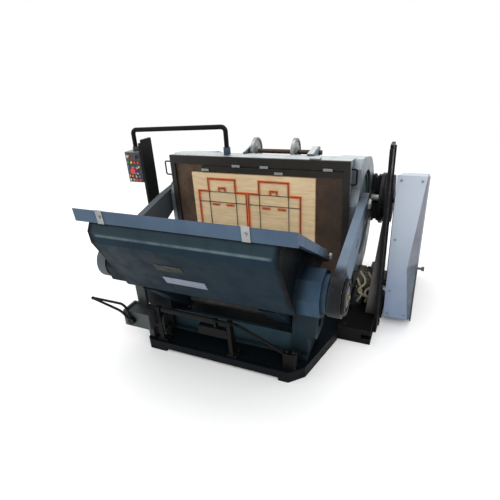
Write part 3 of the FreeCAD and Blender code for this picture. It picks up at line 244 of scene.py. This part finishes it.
def enamel(name, colour, grime_and_shade=(0.012, 0.011, 0.010), worn=(0.20, 0.21, 0.21), rough=0.38, wear=0.6,
           dirt_and_shade=0.75, cast=0.6, edge=0.004, specular=0.25, shade_reach=0.45, layers=()):
    """Brushed-on machine enamel over a casting: blotches, oil streaks, painted shade in hollows and on
    undersides, corner soiling mixed with painted shade, chipped edges.

    Each layer is a share socket maker and a colour, laid over the enamel before its painted shade and corner
    soiling.
    """
    g = Graph(name)
    blotch = g.ramp(g.noise(2.3, 5, 0.6), 0.3, 0.7)
    streak = g.ramp(g.noise(5.0, 4, 0.55, stretch=(3.0, 3.0, 0.55)), 0.45, 0.75)
    speckle = g.ramp(g.noise(95, 3, 0.6), 0.62, 0.72)
    body = g.mix(blotch, shade(colour, 0.84), shade(colour, 1.12))
    for share, tint in layers:
        body = g.mix(share(g), body, tint)
    body = g.mix(g.math("MULTIPLY", streak, 0.3), body, shade(colour, 0.62))
    body = g.mix(g.math("MULTIPLY", speckle, 0.22), body, shade(colour, 0.5))
    # Painted shade: hollows and faces turned down go over to the dark shade colour.
    hollow = g.math("MULTIPLY", g.crevices(shade_reach), 0.72)
    under = g.math("MULTIPLY", g.facing((0, 0, -1), 0.15, 0.95), 0.6)
    body = g.mix(g.math("MAXIMUM", hollow, under), body, grime_and_shade)
    # Corner soiling and painted shade together: darker in tight corners, broken up by noise; the same mask
    # roughens the paint.
    corner = g.math("MULTIPLY", g.crevices(0.09), g.ramp(g.noise(14, 5, 0.7), 0.25, 0.65, 0.35, 1.0))
    body = g.mix(g.math("MULTIPLY", corner, dirt_and_shade), body, grime_and_shade)
    chips = g.math("MULTIPLY", g.edges(edge), g.ramp(g.noise(38, 6, 0.75), 0.42, 0.6))
    chips = g.math("MULTIPLY", chips, wear)
    body = g.mix(chips, body, worn)
    roughness = g.math("ADD", g.ramp(g.noise(9, 4, 0.6), 0.3, 0.7, rough - 0.08, rough + 0.12),
                       g.math("MULTIPLY", corner, 0.25))
    skin = g.bump(g.noise(170, 3, 0.6), 0.16 * cast, 0.002, g.soft_edge(edge * 0.6))
    normal = g.bump(g.noise(22, 4, 0.55), 0.22 * cast, 0.006, skin)
    return g.shader(body, roughness, g.math("MULTIPLY", chips, 0.6), normal, specular=specular)


def upward(g):
    """Surfaces that face the sky."""
    return g.facing((0, 0, 1), 0.6, 0.95)


def ridge_highlight(g):
    """A painted highlight: a pale line along the platen's front, where the photograph has its ridge."""
    line_height = 1.058
    away = g.math("ABSOLUTE", g.math("SUBTRACT", g.axis("Z"), line_height))
    inside = g.ramp(g.math("ABSOLUTE", g.axis("X")), 0.52, 0.56, 1.0, 0.0)
    line = g.math("MULTIPLY", g.ramp(away, 0.003, 0.013, 0.75, 0.0), inside)
    return g.math("MULTIPLY", line, g.ramp(g.noise(6, 4, 0.6, stretch=(1.0, 0.1, 0.1)), 0.3, 0.6, 0.35, 1.0))


def end_hollow(g):
    """The unlit hollow at each end of the platen, above its trunnion bosses."""
    outward = g.ramp(g.math("ABSOLUTE", g.axis("X")), 0.545, 0.585)
    clear_of_boss = g.near_axis(*TRUNNION, 0.150, 0.175)
    return g.math("MULTIPLY", outward, g.math("SUBTRACT", 1.0, clear_of_boss))


def lit_rim(g):
    """The platen's rim above the painted highlight, painted lighter as a face turned up to the light."""
    return g.ramp(g.axis("Z"), 1.060, 1.072)


def lit_right_end(g):
    """The platen's right end, painted lighter and bluer as if lit."""
    return g.ramp(g.axis("X"), 0.60, 0.66)


def shaded_left_end(g):
    """The platen's left end, painted darker as shade."""
    return g.ramp(g.axis("X"), -0.66, -0.60, 1.0, 0.0)


def rod_eye_shade(g):
    """The lower eye of a connecting rod, painted near-black as shade."""
    return g.near_axis(*TRUNNION, 0.13, 0.19)


def cap_centre(g):
    """The brighter middle of a trunnion cap."""
    return g.near_axis(*TRUNNION, 0.060, 0.066)


def upper_plate(g):
    """The name plates' upper part."""
    return g.ramp(g.axis("Z"), 0.77, 0.78)


def left_half(g):
    """Everything left of the press's middle."""
    return g.ramp(g.axis("X"), -0.1, 0.1, 1.0, 0.0)


def forward_face(g):
    """Surfaces that face the operator."""
    return g.facing((0, -1, 0), 0.7, 0.95)


def cut_corner(g):
    """The slanted front corner of the flywheel guard."""
    return g.facing((0.70, -0.70, 0.1), 0.9, 0.96)


def sheet_metal(name, colour, shadow, corner_shade_high, corner_shade_low, span=(0.12, 1.05)):
    """Sprayed sheet: painted shade, cooler and darker, low down and on the cut corner; faint waves and
    scuffs.
    """
    g = Graph(name)
    rough = 0.45
    height = g.axis("Z")
    # Painted shade: darker towards the shadow colour low down, and darker still on the cut corner.
    body = g.mix(g.ramp(height, *span), shadow, colour)
    corner = g.mix(g.ramp(height, 0.50, 0.54), corner_shade_low, corner_shade_high)
    body = g.mix(cut_corner(g), body, corner)
    body = g.mix(g.ramp(g.noise(3.1, 5, 0.6), 0.35, 0.75, 0.0, 0.3), body, shade(colour, 0.84))
    rubs = g.ramp(g.noise(7, 6, 0.72, stretch=(1.0, 1.0, 5.0)), 0.64, 0.76)
    body = g.mix(g.math("MULTIPLY", rubs, 0.25), body, (0.20, 0.21, 0.23))
    rim = g.math("MULTIPLY", g.edges(0.004), g.ramp(g.noise(30, 5, 0.7), 0.4, 0.62))
    body = g.mix(g.math("MULTIPLY", rim, 0.7), body, (0.10, 0.10, 0.11))
    # Painted shade: darker where surfaces crowd together.
    body = g.mix(g.math("MULTIPLY", g.crevices(0.05), 0.5), body, (0.05, 0.05, 0.05))
    dents = g.bump(g.noise(3.5, 2, 0.4), 0.12, 0.02, g.soft_edge(0.002))
    normal = g.bump(g.noise(240, 2, 0.5), 0.06, 0.001, dents)
    return g.shader(body, g.ramp(g.noise(12, 4, 0.6), 0.3, 0.7, rough - 0.08, rough + 0.12), 0.0, normal,
                    specular=0.3)


def bare_metal(name, colour, stain, rough=0.32, brushed=(1.0, 1.0, 1.0), stains=0.5, layers=()):
    """Machined or turned metal with tool marks, oil film, stains and painted shade in crevices."""
    g = Graph(name)
    marks = g.noise(260, 3, 0.6, stretch=brushed)
    body = g.mix(g.ramp(marks, 0.3, 0.7), shade(colour, 0.8), shade(colour, 1.12))
    patches = g.math("MULTIPLY", g.ramp(g.noise(11, 6, 0.7), 0.46, 0.66), stains)
    for share, tint in layers:
        body = g.mix(share(g), body, tint)
    body = g.mix(patches, body, stain)
    # Painted shade: darker where surfaces crowd together.
    body = g.mix(g.math("MULTIPLY", g.crevices(0.05), 0.5), body, (0.02, 0.018, 0.015))
    metal = g.ramp(patches, 0.0, 1.0, 0.95, 0.35)
    normal = g.bump(marks, 0.12, 0.0008, g.soft_edge(0.0012))
    return g.shader(body, g.ramp(g.noise(17, 4, 0.6), 0.3, 0.7, rough - 0.08, rough + 0.2), metal, normal)


def rusty_plate(name):
    """The steel plate behind the board: brown with old ink, rust bloom and wiped bright patches."""
    g = Graph(name)
    body = g.mix(g.ramp(g.noise(6, 6, 0.7), 0.3, 0.7), (0.034, 0.019, 0.011), (0.088, 0.050, 0.029))
    body = g.mix(g.ramp(g.noise(2.1, 4, 0.6, stretch=(1, 1, 0.4)), 0.45, 0.75, 0.0, 0.6), body,
                 (0.115, 0.075, 0.050))
    body = g.mix(g.ramp(g.axis("X"), 0.42, 0.60, 0.0, 0.5), body, (0.028, 0.019, 0.014))
    body = g.mix(g.ramp(g.noise(60, 5, 0.8), 0.56, 0.7, 0.0, 0.8), body, (0.022, 0.013, 0.009))
    wiped = g.ramp(g.noise(4, 5, 0.6, stretch=(0.5, 1, 2.0)), 0.60, 0.80, 0.0, 0.35)
    body = g.mix(wiped, body, (0.17, 0.125, 0.095))
    normal = g.bump(g.noise(90, 5, 0.7), 0.3, 0.001, g.soft_edge(0.001))
    return g.shader(body, g.ramp(g.noise(15, 4, 0.6), 0.3, 0.7, 0.45, 0.75), 0.35, normal)


def plywood(name):
    """Birch die board: long grain on the face and dark, laser-cut edges."""
    g = Graph(name)
    grain = g.noise(5.5, 8, 0.65, stretch=(1.0, 1.0, 9.0), distort=0.6)
    fibre = g.noise(60, 4, 0.6, stretch=(1.0, 1.0, 14.0))
    body = g.mix(g.ramp(grain, 0.3, 0.7), (0.50, 0.37, 0.21), (0.66, 0.51, 0.31))
    body = g.mix(g.ramp(fibre, 0.5, 0.75, 0.0, 0.25), body, (0.36, 0.23, 0.12))
    body = g.mix(g.ramp(g.noise(2.0, 4, 0.6), 0.45, 0.8, 0.0, 0.5), body, (0.70, 0.56, 0.36))
    body = g.mix(g.math("MULTIPLY", g.edges(0.006), 0.6), body, (0.16, 0.09, 0.045))
    normal = g.bump(fibre, 0.25, 0.0006, g.soft_edge(0.001))
    return g.shader(body, g.ramp(grain, 0.3, 0.7, 0.5, 0.66), 0.0, normal)


def foam_rubber(name):
    """Closed-cell ejection rubber, faded in patches."""
    g = Graph(name)
    body = g.mix(g.ramp(g.noise(30, 5, 0.7), 0.3, 0.7), (0.50, 0.085, 0.020), (0.64, 0.15, 0.04))
    body = g.mix(g.ramp(g.noise(5, 4, 0.6), 0.5, 0.8, 0.0, 0.5), body, (0.66, 0.28, 0.13))
    cells = g.noise(700, 3, 0.7)
    normal = g.bump(cells, 0.5, 0.0008, g.soft_edge(0.0015))
    return g.shader(body, g.ramp(cells, 0.3, 0.7, 0.7, 0.9), 0.0, normal)


def plastic(name, colour, rough=0.3):
    """Moulded plastic with patchy tone, painted shade in its crevices and fine scratches."""
    g = Graph(name)
    body = g.mix(g.ramp(g.noise(40, 4, 0.6), 0.3, 0.7), shade(colour, 0.85), shade(colour, 1.1))
    # Painted shade: darker where surfaces crowd together.
    body = g.mix(g.math("MULTIPLY", g.crevices(0.012), 0.6), body, (0.03, 0.03, 0.03))
    scratches = g.noise(300, 3, 0.6, stretch=(1, 1, 0.1))
    normal = g.bump(scratches, 0.08, 0.0005, g.soft_edge(0.001))
    return g.shader(body, g.ramp(scratches, 0.3, 0.7, rough - 0.05, rough + 0.15), 0.0, normal, coat=0.3)


def lamp_colours(name):
    """Small lamps: red, amber, off-white and blue, picked by the level of one noise."""
    g = Graph(name)
    pick = g.noise(31, 0, 0.5)
    body = g.mix(g.ramp(pick, 0.44, 0.46), (0.45, 0.02, 0.02), (0.50, 0.36, 0.03))
    body = g.mix(g.ramp(pick, 0.50, 0.52), body, (0.55, 0.55, 0.52))
    body = g.mix(g.ramp(pick, 0.57, 0.59), body, (0.03, 0.10, 0.30))
    return g.shader(body, 0.3, 0.0, g.bump(g.noise(300, 3, 0.6), 0.08, 0.0005), coat=0.3)


def paint_nodes():
    """Give every CAD node its finish."""
    # Painted light: faces that look up are a lighter blue.
    blue = enamel("enamel_blue", (0.050, 0.082, 0.128), worn=(0.13, 0.15, 0.16), specular=0.15,
                  layers=((upward, (0.060, 0.090, 0.125)),))
    # The slate's layers paint light and shade: a lighter rim and a pale highlight line, a lighter right end,
    # a darker left end and near-black shade in the hollows at both ends.
    belly = enamel("enamel_slate", (0.0080, 0.0200, 0.0310), worn=(0.05, 0.065, 0.075), wear=0.35, rough=0.46,
                   specular=0.06, grime_and_shade=(0.002, 0.003, 0.004), layers=(
                       (lit_rim, (0.0180, 0.0320, 0.0400)),
                       (ridge_highlight, (0.110, 0.150, 0.170)),
                       (lit_right_end, (0.0300, 0.0580, 0.0920)),
                       (shaded_left_end, (0.0090, 0.0160, 0.0190)),
                       (end_hollow, (0.0020, 0.0025, 0.0030))))
    # Painted light: faces that look up are much paler.
    bed = enamel("enamel_pale", (0.225, 0.270, 0.310), wear=0.5, dirt_and_shade=0.6, rough=0.42, shade_reach=0.25,
                 layers=((upward, (0.42, 0.45, 0.46)),))
    # Painted shade: the rods go near-black round their lower eyes, and darker on the left of the press.
    rods = enamel("enamel_rod", (0.110, 0.150, 0.200), wear=0.5, rough=0.42, specular=0.12, layers=(
        (rod_eye_shade, (0.006, 0.007, 0.008)),
        (left_half, (0.070, 0.082, 0.092))))
    deep = enamel("enamel_deep", (0.0125, 0.0260, 0.0340), wear=0.3, rough=0.42, worn=(0.07, 0.08, 0.08),
                  specular=0.10, grime_and_shade=(0.003, 0.003, 0.003))
    panel = enamel("enamel_panel", (0.0200, 0.0430, 0.0540), wear=0.4, rough=0.42, worn=(0.07, 0.08, 0.08),
                   specular=0.15, shade_reach=0.12, grime_and_shade=(0.003, 0.003, 0.003))
    base = enamel("enamel_base", (0.004, 0.007, 0.010), wear=0.3, rough=0.45, worn=(0.04, 0.045, 0.045),
                  specular=0.07, grime_and_shade=(0.002, 0.002, 0.002))
    lever = enamel("enamel_lever", (0.045, 0.055, 0.058), wear=0.3, rough=0.45, worn=(0.10, 0.11, 0.11))
    black = enamel("black_paint", (0.0045, 0.0045, 0.005), wear=0.5, rough=0.42, worn=(0.11, 0.11, 0.11),
                   cast=0.35, dirt_and_shade=0.3, specular=0.10, grime_and_shade=(0.002, 0.002, 0.002))
    chase = enamel("chase_black", (0.016, 0.015, 0.013), wear=0.5, rough=0.4, worn=(0.13, 0.12, 0.11),
                   cast=0.35, dirt_and_shade=0.3, specular=0.2, grime_and_shade=(0.003, 0.003, 0.003))
    # After each sheet's own colour come its painted-shade colours: for low down, then for the upper and lower
    # cut corner.
    guard = sheet_metal("guard_paint", (0.41, 0.46, 0.53), (0.15, 0.205, 0.31),
                        (0.125, 0.125, 0.155), (0.022, 0.038, 0.055))
    cover = sheet_metal("cover_paint", (0.26, 0.27, 0.30), (0.012, 0.015, 0.020),
                        (0.10, 0.10, 0.12), (0.010, 0.012, 0.015), span=(0.44, 0.60))
    gear = enamel("gear_paint", (0.120, 0.160, 0.160), wear=0.8, rough=0.45, shade_reach=0.08, edge=0.002)
    drum = bare_metal("drum_iron", (0.026, 0.026, 0.029), (0.012, 0.011, 0.012), rough=0.5, stains=0.5)
    steel = bare_metal("turned_steel", (0.40, 0.40, 0.39), (0.13, 0.10, 0.07), stains=0.5)
    cap = bare_metal("cap_iron", (0.020, 0.019, 0.019), (0.010, 0.009, 0.009), rough=0.5, stains=0.4,
                     layers=((cap_centre, (0.11, 0.11, 0.12)),))
    oily = bare_metal("oily_shaft", (0.055, 0.053, 0.050), (0.020, 0.016, 0.012), rough=0.45, stains=0.6)
    platen = bare_metal("platen_steel", (0.40, 0.40, 0.39), (0.18, 0.14, 0.10), rough=0.3,
                        brushed=(1, 8, 8), stains=0.45)
    rule = bare_metal("rule_steel", (0.07, 0.07, 0.07), (0.04, 0.03, 0.02), rough=0.35, stains=0.3)
    clip = bare_metal("clip_steel", (0.34, 0.35, 0.35), (0.17, 0.15, 0.12), rough=0.45, stains=0.35)
    shaft = bare_metal("reel_steel", (0.085, 0.060, 0.048), (0.04, 0.026, 0.018), rough=0.5, stains=0.6,
                       brushed=(14, 1, 1))
    disc = bare_metal("reel_disc", (0.33, 0.35, 0.35), (0.11, 0.10, 0.09), rough=0.42, stains=0.6)
    plates = bare_metal("blank_plate", (0.26, 0.29, 0.36), (0.16, 0.17, 0.18), rough=0.5, stains=0.2,
                        layers=((upper_plate, (0.035, 0.040, 0.032)),))
    plan = {
        blue: ["safety_bar", "control_post"],
        belly: ["platen_casting"],
        bed: ["bed_block", "left_side_frame", "right_side_frame", "reel_brackets"],
        rods: ["left_connecting_rod", "right_connecting_rod"],
        deep: ["pedestals", "rear_cross_beam", "bearing_stand"],
        panel: ["front_tie_panel"],
        base: ["base_casting"],
        lever: ["lever_box"],
        black: ["columns", "outriggers", "motor_base", "control_arm", "side_handles",
                "throw_off_lever", "cross_shaft", "shaft_brackets", "stay_rod"],
        chase: ["chase_frame"],
        guard: ["flywheel_guard"],
        cover: ["guard_outer_cover"],
        gear: ["left_bull_gear", "right_bull_gear", "drive_pinions", "flywheel", "motor_pulley"],
        drum: ["clutch_drum"],
        cap: ["trunnion_caps"],
        oily: ["hinge_shaft", "frame_bolts", "trunnion_pins"],
        steel: ["drive_shaft", "crank_pins", "bar_pivot_pins"],
        platen: ["platen_face_plate"],
        rule: ["cutting_rules"],
        clip: ["bar_clips", "chase_clamps"],
        shaft: ["reel_shaft"],
        disc: ["reel_flanges"],
        plates: ["name_plates"],
        rusty_plate("bed_plate_steel"): ["bed_plate"],
        plywood("die_board_ply"): ["die_board"],
        foam_rubber("ejection_foam"): ["ejection_rubber"],
        plastic("belt_rubber", (0.02, 0.02, 0.02), 0.6): ["v_belts"],
        enamel("motor_enamel", (0.30, 0.27, 0.19), dirt_and_shade=0.9, wear=0.4): ["motor_body", "motor_fan_cover"],
        enamel("box_enamel", (0.20, 0.21, 0.22), cast=0.3, dirt_and_shade=0.35,
               layers=((forward_face, (0.055, 0.045, 0.042)),)): ["control_box"],
        lamp_colours("lamp_caps"): ["indicator_lamps"],
        plastic("stop_red", (0.55, 0.02, 0.015)): ["e_stop_button", "stop_button"],
        plastic("start_green", (0.02, 0.24, 0.07)): ["start_button"],
        plastic("inch_yellow", (0.65, 0.42, 0.02)): ["inch_button"],
        plastic("selector_blue", (0.02, 0.035, 0.13)): ["selector_knob"],
    }
    for material, names in plan.items():
        for name in names:
            mesh = NODES[name].data
            if not mesh.materials:
                mesh.materials.append(material)
            for i in range(len(mesh.materials)):
                mesh.materials[i] = material


# ---------------------------------------------------------------- added pieces

def place(name, mesh, material, body, slot):
    """Add a piece that rides a body."""
    mesh.materials.append(material)
    piece = bpy.data.objects.new(name, mesh)
    bpy.context.scene.collection.objects.link(piece)
    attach(piece, body)


def extruded(name, outline, axis, low, high):
    """A closed outline in the two other axes, drawn out along an axis between low and high."""
    count = len(outline)
    points = []
    for end in (low, high):
        for a, b in outline:
            points.append({"X": (end, a, b), "Y": (a, end, b), "Z": (a, b, end)}[axis])
    faces = [tuple(range(count)), tuple(range(2 * count - 1, count - 1, -1))]
    faces += [(i, i + count, (i + 1) % count + count, (i + 1) % count) for i in range(count)]
    mesh = bpy.data.meshes.new(name)
    mesh.from_pydata(points, [], faces)
    shape = bmesh.new()
    shape.from_mesh(mesh)
    bmesh.ops.recalc_face_normals(shape, faces=shape.faces)
    shape.to_mesh(mesh)
    shape.free()
    return mesh


def arc(y, z, radius, start, end, steps):
    """Points of a circular arc round (y, z), from one angle in degrees to another."""
    angles = [math.radians(start + (end - start) * i / steps) for i in range(steps + 1)]
    return [(y + radius * math.cos(a), z + radius * math.sin(a)) for a in angles]


def disc(name, y, z, radius, low, high):
    """A short round bar along X."""
    return extruded(name, arc(y, z, radius, 0, 345, 23), "X", low, high)


def hose(name, points, radius):
    """A round flexible pipe through the points."""
    data = bpy.data.curves.new(name, "CURVE")
    data.dimensions = "3D"
    data.bevel_depth = radius
    data.bevel_resolution = 4
    data.resolution_u = 10
    data.use_fill_caps = True
    spline = data.splines.new("BEZIER")
    spline.bezier_points.add(len(points) - 1)
    for knot, point in zip(spline.bezier_points, points):
        knot.co = point
        knot.handle_left_type = knot.handle_right_type = "AUTO"
    bent = bpy.data.objects.new(name, data)
    mesh = bpy.data.meshes.new_from_object(bent)
    bpy.data.objects.remove(bent)
    return mesh


def add_pieces():
    """The small fittings that only the looks have."""
    gusset = enamel("gusset_paint", (0.120, 0.115, 0.110), wear=0.5, cast=0.3)
    housing = enamel("brake_paint", (0.030, 0.031, 0.036), wear=0.6, rough=0.5, specular=0.1, shade_reach=0.1)
    cable = plastic("cable_cream", (0.34, 0.30, 0.21), 0.5)
    sleeve = enamel("sleeve_paint", (0.0080, 0.0075, 0.0070), wear=0.6, cast=0.4, specular=0.1)
    zinc = bare_metal("zinc_screws", (0.28, 0.28, 0.28), (0.10, 0.08, 0.06), rough=0.4)
    brass = bare_metal("oil_brass", (0.35, 0.24, 0.09), (0.08, 0.05, 0.02), rough=0.35)

    triangle = [(0.872, 0.118), (0.946, 0.118), (0.946, 0.97)]
    place("column_gusset", extruded("column_gusset", triangle, "Y", 0.014, 0.020), gusset, "frame",
          "black_steel")

    half_angle, bore = 98, 0.05
    rings = ((0.205, 0.774, 0.792), (0.188, 0.792, 0.816), (0.202, 0.816, 0.840))
    for i, (radius, low, high) in enumerate(rings):
        outline = (arc(*DRIVE_SHAFT, radius, -half_angle, half_angle, 28)
                   + arc(*DRIVE_SHAFT, bore, half_angle, -half_angle, 16))
        place(f"brake_housing_{i}", extruded(f"brake_housing_{i}", outline, "X", low, high), housing,
              "frame", "iron")

    flank = enamel("flank_paint", (0.0140, 0.0280, 0.0350), wear=0.3, specular=0.1, shade_reach=0.2)
    profile = [(-0.712, 0.300), (-0.660, 0.215), (-0.641, 0.215), (-0.641, 0.476), (-0.712, 0.476)]
    place("pedestal_flank", extruded("pedestal_flank", profile, "Y", -0.589, -0.575), flank, "frame",
          "dark_enamel")

    cable_radius = 0.009
    loops = (((0.80, 0.150, 0.395), (0.845, 0.110, 0.330), (0.800, 0.105, 0.250), (0.860, 0.130, 0.180),
              (0.850, 0.150, 0.128)),
             ((0.86, 0.150, 0.400), (0.900, 0.115, 0.320), (0.850, 0.100, 0.240), (0.905, 0.120, 0.170),
              (0.900, 0.150, 0.128)),
             ((0.78, 0.150, 0.330), (0.820, 0.120, 0.220), (0.790, 0.140, 0.128)))
    for i, points in enumerate(loops):
        place(f"motor_cable_{i}", hose(f"motor_cable_{i}", points, cable_radius), cable, "frame",
              "motor_paint")

    sleeve_radius = 0.018
    place("cross_sleeve", disc("cross_sleeve", *CROSS_SHAFT, sleeve_radius, -0.440, -0.030), sleeve, "cross",
          "black_steel")
    for i, (y, z, radius) in enumerate(((-0.728, 0.262, 0.038), (-0.728, 0.150, 0.030))):
        place(f"chain_wheel_{i}", disc(f"chain_wheel_{i}", y, z, radius, -0.446, -0.434), sleeve, "frame",
              "black_steel")
    run = [(-0.768, 0.262), (-0.758, 0.262), (-0.750, 0.150), (-0.760, 0.150)]
    place("chain_run", extruded("chain_run", run, "X", -0.445, -0.435), sleeve, "frame", "black_steel")

    screw_radius, screw_sides = 0.008, 12
    spots = ((1.03, 1.15), (1.16, 1.15), (1.03, 0.72), (1.03, 0.30), (1.03, 0.10), (1.15, 0.10))
    for i, (x, z) in enumerate(spots):
        turns = [2 * math.pi * k / screw_sides for k in range(screw_sides)]
        ring = [(x + screw_radius * math.cos(a), z + screw_radius * math.sin(a)) for a in turns]
        place(f"guard_screw_{i}", extruded(f"guard_screw_{i}", ring, "Y", 0.0755, 0.0798), zinc, "frame",
              "bright_steel")

    cup_radius, cup_inner, cup_outer = 0.013, 0.8565, 0.868
    for side in (-1, 1):
        low, high = sorted((side * cup_inner, side * cup_outer))
        name = "right_oil_cup" if side > 0 else "left_oil_cup"
        place(name, disc(name, *TRUNNION, cup_radius, low, high), brass, "platen", "bright_steel")


make_camera()
make_studio()
paint_nodes()
add_pieces()
